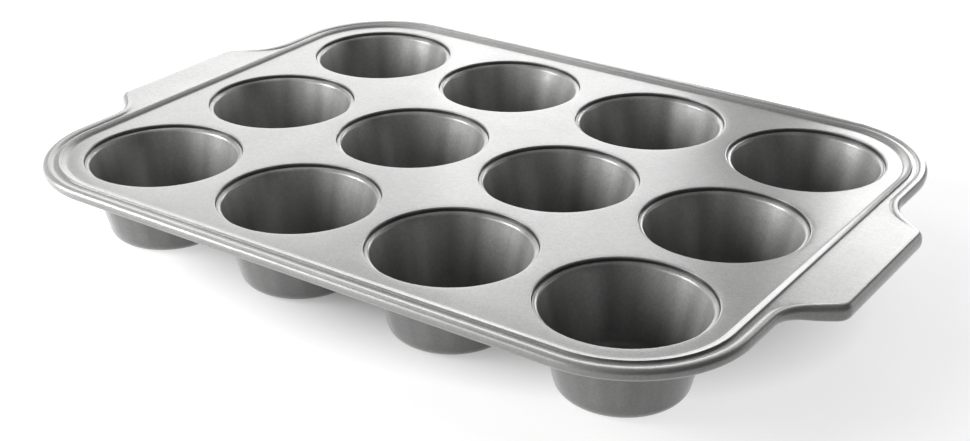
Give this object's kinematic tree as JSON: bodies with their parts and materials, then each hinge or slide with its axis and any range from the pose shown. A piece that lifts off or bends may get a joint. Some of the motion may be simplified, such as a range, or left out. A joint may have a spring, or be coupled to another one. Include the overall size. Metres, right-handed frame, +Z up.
{
  "type": "mini cake pan",
  "caption": "Flat-bottomed round baking cups hung in a pressed steel deck with a raised ridge, a wired rolled rim and a flange handle at each short end.",
  "frame": {"origin": "on the surface that the pan stands on, under the middle of the pan", "axes": "+X along the long side to one handle, +Y across the short side, +Z up out of the cups' mouths"},
  "size_m": [0.4018, 0.279, 0.0407],
  "materials": {
    "coated_steel": "satin silver-grey nonstick coat with a very fine grain",
    "rim_wire": "bare drawn wire"
  },
  "bodies": {
    "root": {"top_sheet": "coated_steel", "rim_wire": "rim_wire", "cup_row1_col1": "coated_steel", "cup_row1_col2": "coated_steel", "cup_row1_col3": "coated_steel", "cup_row1_col4": "coated_steel", "cup_row2_col1": "coated_steel", "cup_row2_col2": "coated_steel", "cup_row2_col3": "coated_steel", "cup_row2_col4": "coated_steel", "cup_row3_col1": "coated_steel", "cup_row3_col2": "coated_steel", "cup_row3_col3": "coated_steel", "cup_row3_col4": "coated_steel"}
  },
  "joints": []
}
